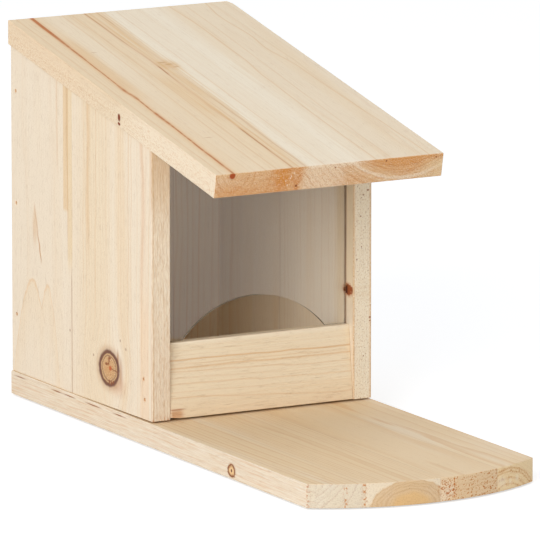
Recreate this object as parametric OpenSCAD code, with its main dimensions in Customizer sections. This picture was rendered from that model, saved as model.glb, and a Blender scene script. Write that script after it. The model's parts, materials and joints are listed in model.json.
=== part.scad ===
// Wooden squirrel feeder: a narrow pine box with a pitched roof that lifts on two
// butt hinges, a clear window with an arched mouth, and a long feeding platform.
// Millimetres, +Z up. The origin is on the underside of the base, on the centre
// plane, straight below the front edges of the side boards. The front faces -Y.

/* [Body] */
// Width of the body over its two side boards
body_w = 120; // [90:1:200]
// Depth of the side boards from front edge to back
body_d = 146; // [110:1:220]
// Height of the side boards at their front edges
front_h = 133; // [110:1:200]
// Thickness of the side boards
side_t = 10; // [8:0.5:14]
// Thickness of the back board
back_t = 10; // [8:0.5:14]

/* [Base] */
// Thickness of the base board
base_t = 11.5; // [9:0.5:18]
// Reach of the base beyond each side board
base_ledge = 0.75; // [0:0.25:6]
// Length of the platform in front of the body, to its corners
platform_l = 153; // [80:1:220]
// Bow of the platform's front edge beyond its corners
platform_bow = 18; // [6:1:40]

/* [Roof] */
// Thickness of the roof board
roof_t = 11.7; // [9:0.1:18]
// Pitch of the roof, in degrees
roof_pitch = 11.4; // [5:0.1:25]
// Overhang of the roof beyond each side board
roof_side_eave = 1.5; // [0:0.25:12]
// Overhang of the roof in front of the body, to its top edge
roof_front_eave = 67; // [20:1:100]

/* [Front rail] */
// Height of the rail that closes the box below the window
rail_h = 36.5; // [25:0.5:55]
// Thickness of the rail
rail_t = 10; // [8:0.5:14]
// Backward lean of the rail, in degrees
rail_lean = 6.5; // [0:0.5:10]

/* [Window] */
// Thickness of the clear pane
pane_t = 2; // [1.5:0.1:3]
// Distance from the side boards' front edges back to the pane
pane_setback = 8; // [6:0.5:12]
// Depth of the grooves that hold the pane's edges
groove_depth = 4; // [2:0.5:6]
// Free space round the pane in its grooves
pane_play = 0.3; // [0.1:0.1:0.6]
// Gap between the pane's top edge and the roof
pane_top_gap = 1.5; // [0.5:0.5:5]
// Rise of the pane's arched mouth above its bottom edge
mouth_rise = 18.5; // [10:0.5:26]
// Width of the pane that stands on the rail at each side of the mouth
mouth_foot = 11; // [6:0.5:20]

/* [Hinges] */
// Length of each hinge
hinge_l = 25; // [18:1:40]
// Distance from each hinge's outer end to the outside of the body
hinge_inset = 16.5; // [13:0.5:30]
// Width of each leaf, from the pin's axis to its far edge
leaf_w = 9; // [8:0.5:11]
// Thickness of the leaves
leaf_t = 0.8; // [0.6:0.1:1.2]
// Diameter of the rolled knuckles
knuckle_d = 3.2; // [2.8:0.1:4]
// Number of knuckles on each hinge, shared by its two leaves
knuckle_n = 5; // [3:2:7]
// Diameter of the hinge pin
pin_d = 1.6; // [1.2:0.1:1.9]
// Gap between neighbouring knuckles, and between a knuckle and the wood
knuckle_gap = 0.3; // [0.2:0.05:0.5]
// Radial running clearance of the pin
pin_play = 0.05; // [0.02:0.01:0.1]
// Head diameter of the hinge screws
leaf_screw_head_d = 4; // [3.4:0.1:4.6]
// Shank diameter of the hinge screws
leaf_screw_d = 2; // [1.6:0.1:2.4]
// Length of the hinge screws
leaf_screw_l = 8; // [5:0.5:9]

/* [Brads and screws] */
// Shank diameter of the brads
brad_d = 1.2; // [1:0.1:1.6]
// Head diameter of the brads
brad_head_d = 1.9; // [1.7:0.1:2.6]
// Length of the brads
brad_l = 24; // [18:1:32]
// Depth of the brad heads below the wood
brad_set = 0.4; // [0.2:0.1:1]
// Height of the lowest back brad above the base
back_brad_low = 29; // [24:1:40]
// Distance of the top back brad below the top of the board
back_brad_drop = 21.5; // [15:0.5:30]
// Distance of the rail brads behind the rail's face
rail_brad_in = 6.5; // [3:0.5:7]
// Height of the lower rail brad on the rail
rail_brad_low = 10; // [6:0.5:12]
// Height of the upper rail brad on the rail
rail_brad_top = 20; // [16:0.5:24]
// Shank diameter of the base screws
base_screw_d = 3; // [2.5:0.1:3.5]
// Head diameter of the base screws
base_screw_head_d = 6; // [5:0.1:7]
// Length of the base screws
base_screw_l = 28; // [20:1:32]
// Depth of the base screws' heads below the underside of the base
base_screw_set = 0.5; // [0.2:0.1:1.5]
// Distance of the front and rear base screws from the ends of a side board
base_screw_end = 22; // [16:1:30]
// Distance of the back board's base screws from the inner faces of the sides
base_screw_in = 22; // [10:1:30]

/* [Fixing holes] */
// Diameter of the two holes for hanging the feeder up
fixing_d = 5; // [4:0.5:7]
// Distance between the two fixing holes
fixing_spacing = 50; // [30:1:64]
// Distance of the fixing holes below the top of the back board
fixing_drop = 26; // [20:1:40]

/* [Hidden] */
$fn = 96;
// Reach of every cutting tool past the faces that it cuts
over = 1;
// Radial clearance of brads and screws in the wood
nail_play = 0.02;
// Half angle of the countersunk heads, in degrees
head_angle = 45;
// Tip length of a brad or screw, in shank diameters
tip_ratio = 1.2;
// Width and depth of the cross recess, as shares of the screw head
recess_w = 0.16;
recess_l = 0.62;
recess_depth = 0.22;
// Number of brads up the edge of each side board
back_brad_n = 3;
// Length of the pin's riveted heads, and their width beyond the pin
rivet_l = 0.5;
rivet_lip = 0.3;
// Distance of a leaf's screws from the leaf's ends, as a share of its length
leaf_screw_share = 0.22;

inner_w = body_w - 2 * side_t;
base_w = body_w + 2 * base_ledge;
roof_w = body_w + 2 * roof_side_eave;
roof_rise = tan(roof_pitch);
back_front_y = body_d - back_t;

// Height of the roof's underside and of its top at a distance y behind the front edges
function roof_under(y) = base_t + front_h + y * roof_rise;
function roof_top(y) = roof_under(y) + roof_t / cos(roof_pitch);

// Radius of an arc, from half its chord and its rise
function arc_r(half, rise) = (half * half + rise * rise) / (2 * rise);
platform_r = arc_r(base_w / 2, platform_bow);

// The rail stands on its lower back edge, with its lower front edge flush with the sides
rail_foot_z = base_t + rail_t * sin(rail_lean);

// Place on the leaning rail, u behind its face and v up from its foot, as [y, z]
function on_rail(u, v) = [
    u * cos(rail_lean) + v * sin(rail_lean),
    rail_foot_z - u * sin(rail_lean) + v * cos(rail_lean)
];
rail_crest = on_rail(0, rail_h);

pane_w = inner_w + 2 * (groove_depth - pane_play);
pane_bottom = rail_crest[1] - (pane_setback - rail_crest[0]) * tan(rail_lean) + pane_play / 2;
pane_top = roof_under(pane_setback) - pane_top_gap;

// The mouth is an arc through the pane's two feet and its own crown
mouth_half = inner_w / 2 - mouth_foot;
mouth_r = arc_r(mouth_half, mouth_rise);
mouth_z = pane_bottom + mouth_rise - mouth_r;

knuckle_r = knuckle_d / 2;
hinge_y = body_d + knuckle_r + knuckle_gap;
hinge_z = roof_under(body_d);
hinge_x = body_w / 2 - hinge_inset - hinge_l / 2;
hinge_xs = [-hinge_x, hinge_x];
knuckle_pitch = hinge_l / knuckle_n;
leaf_edge = knuckle_r + knuckle_gap;
leaf_screw_z = (leaf_edge + leaf_w) / 2;
leaf_screw_x = hinge_l * (0.5 - leaf_screw_share);

fixing_z = roof_under(back_front_y) - fixing_drop;
back_mid_y = body_d - back_t / 2;
back_brad_first = base_t + back_brad_low;
back_brad_step = (roof_under(back_mid_y) - back_brad_drop - back_brad_first) / (back_brad_n - 1);
back_brad_places = [for (i = [0 : back_brad_n - 1])
    [back_mid_y, back_brad_first + i * back_brad_step]];
rail_brad_places = [for (v = [rail_brad_low, rail_brad_top]) on_rail(rail_brad_in, v)];
side_screw_places = [for (side = [-1, 1], y = [base_screw_end, body_d - base_screw_end])
    [side * (body_w - side_t) / 2, y]];
back_screw_places = [for (side = [-1, 1])
    [side * (inner_w / 2 - base_screw_in), back_mid_y]];
base_screw_places = concat(side_screw_places, back_screw_places);

// Shapes that repeat

// Board of a [y, z] outline, sawn to a width and centred across the feeder
module cross_board(outline, width) {
    translate([-width / 2, 0, 0])
        rotate([90, 0, 90])
            linear_extrude(width)
                polygon(outline);
}

// Countersunk screw along +Z from the middle of its head; play widens it into its hole
module screw(head_d, d, l, play = 0) {
    head_l = (head_d - d) / 2 / tan(head_angle);
    tip_l = d * tip_ratio;
    cylinder(d1 = head_d + 2 * play, d2 = d + 2 * play, h = head_l);
    cylinder(d = d + 2 * play, h = l - tip_l + play);
    translate([0, 0, l - tip_l + play])
        cylinder(d1 = d + 2 * play, d2 = d / 4, h = tip_l);
}

// The screw with a cross recess in its head
module driven_screw(head_d, d, l) {
    difference() {
        screw(head_d, d, l);
        for (turn = [0, 90])
            rotate([0, 0, turn])
                translate([-head_d * recess_l / 2, -head_d * recess_w / 2, -over])
                    cube([head_d * recess_l, head_d * recess_w, over + head_d * recess_depth]);
    }
}

// Brad along +Z from the top of its head
module brad(play = 0) {
    tip_l = brad_d * tip_ratio;
    cylinder(d = brad_head_d + 2 * play, h = brad_d);
    cylinder(d = brad_d + 2 * play, h = brad_l - tip_l + play);
    translate([0, 0, brad_l - tip_l + play])
        cylinder(d1 = brad_d + 2 * play, d2 = brad_d / 4, h = tip_l);
}

// Places its children at each [y, z] on one side board, driven inwards
module into_side(side, places) {
    for (p = places)
        translate([side * (body_w / 2 - brad_set), p[0], p[1]])
            rotate([0, -90 * side, 0])
                children();
}

// The punched holes above the brad heads of one side board
module brad_mouths(side, places) {
    for (p = places)
        translate([side * (body_w / 2 - brad_set), p[0], p[1]])
            rotate([0, 90 * side, 0])
                cylinder(d = brad_head_d + 2 * nail_play, h = brad_set + over);
}

// Places its children at each [x, y] under the base, driven upwards
module into_base(places) {
    for (p = places)
        translate([p[0], p[1], base_screw_set])
            children();
}

// Places its children at the screws of one leaf: up is 1 on the roof and -1 on the wall
module into_leaf(x, up) {
    for (side = [-1, 1])
        translate([x + side * leaf_screw_x, body_d + leaf_t, hinge_z + up * leaf_screw_z])
            rotate([90, 0, 0])
                children();
}

// Wooden parts

module base_board() {
    color("burlywood")
    difference() {
        linear_extrude(base_t)
            union() {
                translate([-base_w / 2, -platform_l])
                    square([base_w, platform_l + body_d]);
                intersection() {
                    translate([0, platform_r - platform_l - platform_bow])
                        circle(r = platform_r);
                    translate([-base_w / 2, -platform_l - platform_bow])
                        square([base_w, platform_bow]);
                }
            }
        into_base(base_screw_places)
            screw(base_screw_head_d, base_screw_d, base_screw_l, nail_play);
        into_base(base_screw_places)
            translate([0, 0, -base_screw_set - over])
                cylinder(d = base_screw_head_d + 2 * nail_play, h = base_screw_set + over);
    }
}

// One side board: its top is cut to the pitch and its inner face is grooved for the pane
module side_board(side) {
    color("wheat")
    difference() {
        translate([side * (body_w - side_t) / 2, 0, 0])
            cross_board([
                [0, base_t],
                [body_d, base_t],
                [body_d, roof_under(body_d)],
                [0, roof_under(0)]
            ], side_t);
        translate([
            side > 0 ? inner_w / 2 - over : -inner_w / 2 - groove_depth,
            pane_setback - pane_play,
            base_t - over
        ])
            cube([groove_depth + over, pane_t + 2 * pane_play, roof_under(body_d)]);
        into_side(side, concat(back_brad_places, rail_brad_places))
            brad(nail_play);
        brad_mouths(side, concat(back_brad_places, rail_brad_places));
        into_base(side_screw_places)
            screw(base_screw_head_d, base_screw_d, base_screw_l, nail_play);
    }
}

module left_side() { side_board(-1); }

module right_side() { side_board(1); }

module back_board() {
    color("wheat")
    difference() {
        cross_board([
            [back_front_y, base_t],
            [body_d, base_t],
            [body_d, roof_under(body_d)],
            [back_front_y, roof_under(back_front_y)]
        ], inner_w);
        for (side = [-1, 1])
            translate([side * fixing_spacing / 2, body_d + over, fixing_z])
                rotate([90, 0, 0])
                    cylinder(d = fixing_d, h = back_t + 2 * over);
        for (side = [-1, 1])
            into_side(side, back_brad_places)
                brad(nail_play);
        into_base(back_screw_places)
            screw(base_screw_head_d, base_screw_d, base_screw_l, nail_play);
        for (x = hinge_xs)
            into_leaf(x, -1)
                screw(leaf_screw_head_d, leaf_screw_d, leaf_screw_l, nail_play);
    }
}

module front_rail() {
    color("wheat")
    difference() {
        cross_board([
            on_rail(0, 0),
            on_rail(rail_t, 0),
            on_rail(rail_t, rail_h),
            on_rail(0, rail_h)
        ], inner_w);
        for (side = [-1, 1])
            into_side(side, rail_brad_places)
                brad(nail_play);
    }
}

// The roof is cut plumb at the back and square to its pitch in front
module roof_board() {
    front_y = -roof_front_eave;
    color("burlywood")
    difference() {
        cross_board([
            [body_d, roof_under(body_d)],
            [body_d, roof_top(body_d)],
            [front_y, roof_top(front_y)],
            [front_y + roof_t * sin(roof_pitch), roof_top(front_y) - roof_t * cos(roof_pitch)]
        ], roof_w);
        for (x = hinge_xs)
            into_leaf(x, 1)
                screw(leaf_screw_head_d, leaf_screw_d, leaf_screw_l, nail_play);
    }
}

// Window

module window_pane() {
    color("lightcyan", 0.4)
    difference() {
        translate([-pane_w / 2, pane_setback, pane_bottom])
            cube([pane_w, pane_t, pane_top - pane_bottom]);
        translate([0, pane_setback + pane_t + over, mouth_z])
            rotate([90, 0, 0])
                cylinder(r = mouth_r, h = pane_t + 2 * over);
    }
}

// Hinges

// One leaf at x: up is 1 for the roof's leaf and -1 for the wall's. Odd and even
// knuckles belong to different leaves, and each leaf is notched round the other's.
module hinge_leaf(x, up) {
    first = up > 0 ? 1 : 0;
    color("goldenrod")
    difference() {
        union() {
            translate([x - hinge_l / 2, body_d, up > 0 ? hinge_z + leaf_edge : hinge_z - leaf_w])
                cube([hinge_l, leaf_t, leaf_w - leaf_edge]);
            for (i = [first : 2 : knuckle_n - 1]) {
                left = x - hinge_l / 2 + i * knuckle_pitch + (i == 0 ? 0 : knuckle_gap / 2);
                right = x - hinge_l / 2 + (i + 1) * knuckle_pitch
                    - (i == knuckle_n - 1 ? 0 : knuckle_gap / 2);
                translate([left, hinge_y, hinge_z])
                    rotate([0, 90, 0])
                        cylinder(d = knuckle_d, h = right - left);
                translate([left, body_d, up > 0 ? hinge_z : hinge_z - leaf_edge])
                    cube([right - left, leaf_t, leaf_edge]);
            }
        }
        translate([x - hinge_l / 2 - over, hinge_y, hinge_z])
            rotate([0, 90, 0])
                cylinder(d = pin_d + 2 * pin_play, h = hinge_l + 2 * over);
        into_leaf(x, up)
            screw(leaf_screw_head_d, leaf_screw_d, leaf_screw_l, nail_play);
    }
}

module hinge_pin(x) {
    color("darkgoldenrod")
    translate([x - hinge_l / 2 - rivet_l, hinge_y, hinge_z])
        rotate([0, 90, 0]) {
            cylinder(d = pin_d, h = hinge_l + 2 * rivet_l);
            for (z = [0, hinge_l + rivet_l])
                translate([0, 0, z])
                    cylinder(d = pin_d + 2 * rivet_lip, h = rivet_l);
        }
}

module left_hinge_wall_leaf() { hinge_leaf(hinge_xs[0], -1); }

module left_hinge_roof_leaf() { hinge_leaf(hinge_xs[0], 1); }

module left_hinge_pin() { hinge_pin(hinge_xs[0]); }

module right_hinge_wall_leaf() { hinge_leaf(hinge_xs[1], -1); }

module right_hinge_roof_leaf() { hinge_leaf(hinge_xs[1], 1); }

module right_hinge_pin() { hinge_pin(hinge_xs[1]); }

// Fasteners

module hinge_screws(up) {
    color("goldenrod")
    for (x = hinge_xs)
        into_leaf(x, up)
            driven_screw(leaf_screw_head_d, leaf_screw_d, leaf_screw_l);
}

module hinge_wall_screws() { hinge_screws(-1); }

module hinge_roof_screws() { hinge_screws(1); }

module brads(side, places) {
    color("dimgray")
    into_side(side, places)
        brad();
}

module left_back_brads() { brads(-1, back_brad_places); }

module right_back_brads() { brads(1, back_brad_places); }

module left_rail_brads() { brads(-1, rail_brad_places); }

module right_rail_brads() { brads(1, rail_brad_places); }

module base_screws(places) {
    color("silver")
    into_base(places)
        driven_screw(base_screw_head_d, base_screw_d, base_screw_l);
}

module base_side_screws() { base_screws(side_screw_places); }

module base_back_screws() { base_screws(back_screw_places); }

base_board();
left_side();
right_side();
back_board();
front_rail();
window_pane();
roof_board();
left_hinge_wall_leaf();
left_hinge_roof_leaf();
left_hinge_pin();
right_hinge_wall_leaf();
right_hinge_roof_leaf();
right_hinge_pin();
hinge_wall_screws();
hinge_roof_screws();
left_back_brads();
right_back_brads();
left_rail_brads();
right_rail_brads();
base_side_screws();
base_back_screws();
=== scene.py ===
import json
import math

import bmesh
import bpy
import numpy as np
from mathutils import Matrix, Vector


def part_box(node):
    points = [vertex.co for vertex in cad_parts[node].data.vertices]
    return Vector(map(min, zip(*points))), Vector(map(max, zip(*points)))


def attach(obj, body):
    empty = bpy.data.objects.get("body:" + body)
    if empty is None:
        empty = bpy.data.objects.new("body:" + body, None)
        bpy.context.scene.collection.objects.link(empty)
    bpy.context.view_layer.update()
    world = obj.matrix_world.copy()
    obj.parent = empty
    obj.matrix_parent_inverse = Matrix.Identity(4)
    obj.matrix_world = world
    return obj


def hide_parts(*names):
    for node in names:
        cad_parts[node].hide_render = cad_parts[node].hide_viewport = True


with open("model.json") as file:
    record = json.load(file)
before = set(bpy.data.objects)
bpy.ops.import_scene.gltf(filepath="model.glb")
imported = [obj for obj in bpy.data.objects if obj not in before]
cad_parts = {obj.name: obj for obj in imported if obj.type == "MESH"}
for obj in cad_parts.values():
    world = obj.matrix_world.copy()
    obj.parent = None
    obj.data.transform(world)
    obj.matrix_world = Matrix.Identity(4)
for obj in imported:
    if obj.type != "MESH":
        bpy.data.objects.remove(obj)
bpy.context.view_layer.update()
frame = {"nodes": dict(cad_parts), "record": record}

# Wooden squirrel feeder. Lengths are in millimetres in the feeder's own frame: +X to the right,
# +Y to the back, +Z up. Meshes turn to metres as they are made.
MM = 0.001


def node_box(node):
    """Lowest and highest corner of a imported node, in millimetres."""
    return [np.array(corner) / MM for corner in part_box(node)]


BASE_LOW, BASE_HIGH = node_box("base_board")
SIDE_LOW, SIDE_HIGH = node_box("left_side")
RAIL_LOW, RAIL_HIGH = node_box("front_rail")
ROOF_LOW, ROOF_HIGH = node_box("roof_board")
PANE_LOW, PANE_HIGH = node_box("window_pane")

BASE_TOP = BASE_HIGH[2]
BODY_D = SIDE_HIGH[1]
PLATFORM_BOW = 18
ROOF_PITCH = math.radians(11.4)
ROOF_T = (ROOF_HIGH[2] - SIDE_HIGH[2]) * math.cos(ROOF_PITCH)
RAIL_LEAN = math.radians(6.5)
GROOVE_DEPTH = 4
PANE_PLAY = 0.3
MOUTH_RISE = 18.5
MOUTH_HALF = 39


def roof_under(y):
    """Height of the roof's underside at a distance y behind the side boards' front edges."""
    return SIDE_HIGH[2] + (y - BODY_D) * math.tan(ROOF_PITCH)


# Meshes

def grid_lines(low, high, step, arris, extra=()):
    """Grid lines from low to high: a step apart in the middle, and over the rounded arris at
    each end at even angles round its quarter circle. The extra lines are added."""
    angles = np.radians(np.linspace(0, 45, 4))
    inset = np.append(arris * (1 - np.tan(angles)), 1.5 * arris)
    middle = np.linspace(low + inset[-1], high - inset[-1], 2 + int((high - low) / step))
    lines = np.concatenate([low + inset, high - inset, middle, extra])
    return np.unique(np.round(lines, 4))


def rounded_block(lines, arris):
    """Box on the grid lines of its three axes, with rounded arrises: each point of the plain box is
    drawn in to a core that is smaller by the arris all round, and set out again from there by the
    arris, along the line between the two. Returns points, quads and outward directions."""
    low = np.array([axis_lines[0] for axis_lines in lines])
    high = np.array([axis_lines[-1] for axis_lines in lines])
    points, quads, start = [], [], 0
    for axis in range(3):
        first, second = (axis + 1) % 3, (axis + 2) % 3
        u, v = np.meshgrid(lines[first], lines[second], indexing="ij")
        index = np.arange(u.size).reshape(u.shape)
        corners = [index[:-1, :-1], index[1:, :-1], index[1:, 1:], index[:-1, 1:]]
        faces = np.stack(corners, -1).reshape(-1, 4)
        for level, order in ((low[axis], -1), (high[axis], 1)):
            side = np.empty((u.size, 3))
            side[:, axis] = level
            side[:, first] = u.ravel()
            side[:, second] = v.ravel()
            points.append(side)
            quads.append(start + faces[:, ::order])
            start += u.size
    outer = np.concatenate(points)
    core = np.clip(outer, low + arris, high - arris)
    way = outer - core
    way /= np.linalg.norm(way, axis=1, keepdims=True)
    return core + arris * way, np.concatenate(quads), way


# Width of the near-vertical walls of holes and grooves
WALL = 0.004
# Points closer than this, in metres, are merged, and edges past this angle stay sharp
MERGE = 1e-7
SHARP = math.radians(40)


def hole_lines(centre, radius, reach):
    """Grid lines that a round hole needs along one axis."""
    half = np.array([radius / 3, radius * 2 / 3, radius, radius + WALL, reach])
    return np.concatenate([centre - half, [centre], centre + half])


def sink_hole(points, on_face, plane, centre, radius, reach, depth):
    """Sinks a round hole with a flat bottom into one face: the grid's squares round its centre become
    circles, which turn back to squares at the reach, and those inside the radius move by the depth."""
    local = points[:, plane] - centre
    square = np.abs(local).max(1)
    chosen = on_face & (square < reach) & (square > 0)
    local, square = local[chosen], square[chosen]
    circle = local * (square / np.linalg.norm(local, axis=1))[:, None]
    share = np.clip((square - radius) / (reach - radius), 0, 1)[:, None]
    moved = points[chosen]
    moved[:, plane] = centre + circle * (1 - share) + local * share
    moved[square < radius + WALL / 2] += depth
    points[chosen] = moved
    middle = on_face & (np.abs(points[:, plane] - centre).max(1) == 0)
    points[middle] += depth


def make_piece(name, points, quads, ends, body, nodes, finish):
    """Object of the quads, with its seams merged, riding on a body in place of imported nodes."""
    mesh = bpy.data.meshes.new(name)
    mesh.from_pydata((points * MM).tolist(), [], quads.tolist())
    mesh.attributes.new("end_grain", "FLOAT", "POINT").data.foreach_set("value", ends)
    shell = bmesh.new()
    shell.from_mesh(mesh)
    bmesh.ops.remove_doubles(shell, verts=shell.verts, dist=MERGE)
    shell.to_mesh(mesh)
    shell.free()
    mesh.shade_smooth()
    mesh.set_sharp_from_angle(angle=SHARP)
    mesh.materials.append(finish)
    piece = bpy.data.objects.new(name, mesh)
    bpy.context.collection.objects.link(piece)
    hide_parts(*nodes)
    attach(piece, body)


# Shader arithmetic

def paint(red, green, blue):
    """Linear colour of an sRGB triple from 0 to 255."""
    share = np.array([red, green, blue]) / 255
    linear = np.where(share <= 0.04045, share / 12.92, ((share + 0.055) / 1.055) ** 2.4)
    return (*linear.tolist(), 1.0)


def add_node(tree, kind):
    """New shader node of that kind in a node tree."""
    return tree.nodes.new("ShaderNode" + kind)


class Num:
    """A number that changes over a surface. Arithmetic on it adds Math nodes to its finish."""

    def __init__(self, finish, socket):
        self.finish = finish
        self.socket = socket

    def __add__(self, other):
        return self.finish.math("ADD", self, other)

    def __sub__(self, other):
        return self.finish.math("SUBTRACT", self, other)

    def __rsub__(self, other):
        return self.finish.math("SUBTRACT", other, self)

    def __mul__(self, other):
        return self.finish.math("MULTIPLY", self, other)

    def __truediv__(self, other):
        return self.finish.math("DIVIDE", self, other)

    __radd__ = __add__
    __rmul__ = __mul__

    def root(self):
        return self.finish.math("SQRT", self)

    def fall(self):
        """e to the power of minus this number."""
        return self.finish.math("EXPONENT", self * -1)

    def least(self, other):
        return self.finish.math("MINIMUM", self, other)

    def most(self, other):
        return self.finish.math("MAXIMUM", self, other)

    def step(self, low, high, start=0.0, end=1.0):
        """Smooth change from start at low to end at high, level outside."""
        node = self.finish.node("MapRange")
        node.interpolation_type = "SMOOTHSTEP"
        for socket, value in zip(node.inputs, (self, low, high, start, end)):
            self.finish.wire(socket, value)
        return Num(self.finish, node.outputs["Result"])

    def drop(self, low, high, start=1.0):
        """Smooth fall from start at low to 0 at high."""
        return self.step(low, high, start, 0)

    def band(self, low, high, soft):
        """1 between low and high, falling to 0 over the soft width at each."""
        return self.step(low - soft, low + soft) * self.drop(high - soft, high + soft)

    def bell(self, middle, width):
        """Bell curve of that half width about the middle."""
        share = (self - middle) / width
        return (share * share).fall()

    def follow(self, points):
        """Smooth curve through (place, value) points, level before the first and after the last."""
        value = points[0][1]
        for (low, start), (high, end) in zip(points, points[1:]):
            value = self.step(low, high, 0, end - start) + value
        return value


class Finish:
    """A material under construction, with its surface place in millimetres."""

    def __init__(self, name):
        self.material = bpy.data.materials.new(name)
        self.material.use_nodes = True
        self.tree = self.material.node_tree
        self.shader = self.tree.nodes["Principled BSDF"]
        split = self.node("SeparateXYZ")
        self.wire(split.inputs[0], self.node("TexCoord").outputs["Object"])
        self.place = [Num(self, socket) / MM for socket in split.outputs]

    def node(self, kind):
        return add_node(self.tree, kind)

    def wire(self, socket, value):
        """Links a number or socket to an input, or sets the input to a plain value."""
        if isinstance(value, Num):
            value = value.socket
        if isinstance(value, bpy.types.NodeSocket):
            self.tree.links.new(value, socket)
        else:
            socket.default_value = value

    def give(self, name, value):
        """Links or sets an input of the shader."""
        self.wire(self.shader.inputs[name], value)

    def math(self, operation, *values):
        node = self.node("Math")
        node.operation = operation
        for socket, value in zip(node.inputs, values):
            self.wire(socket, value)
        return Num(self, node.outputs[0])

    def vector(self, x, y, z):
        node = self.node("CombineXYZ")
        for socket, value in zip(node.inputs, (x, y, z)):
            self.wire(socket, value)
        return node.outputs[0]

    def cloud(self, x, y, z, detail=2.0):
        """Noise about 0, mostly between -0.5 and 0.5, one lump to a unit."""
        node = self.node("TexNoise")
        self.wire(node.inputs["Vector"], self.vector(x, y, z))
        self.wire(node.inputs["Scale"], 1.0)
        self.wire(node.inputs["Detail"], detail)
        return (Num(self, node.outputs[0]) - 0.5) * 3.0

    def mix(self, share, first, second):
        """Colour between two others."""
        node = self.node("Mix")
        node.data_type = "RGBA"
        self.wire(node.inputs[0], share)
        self.wire(node.inputs[6], first)
        self.wire(node.inputs[7], second)
        return node.outputs[2]

    def bump(self, height, depth):
        """Tilts the surface by a height of that depth in millimetres."""
        node = self.node("Bump")
        self.wire(node.inputs["Strength"], 1.0)
        self.wire(node.inputs["Distance"], depth * MM)
        self.wire(node.inputs["Height"], height)
        self.give("Normal", node.outputs[0])


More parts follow.
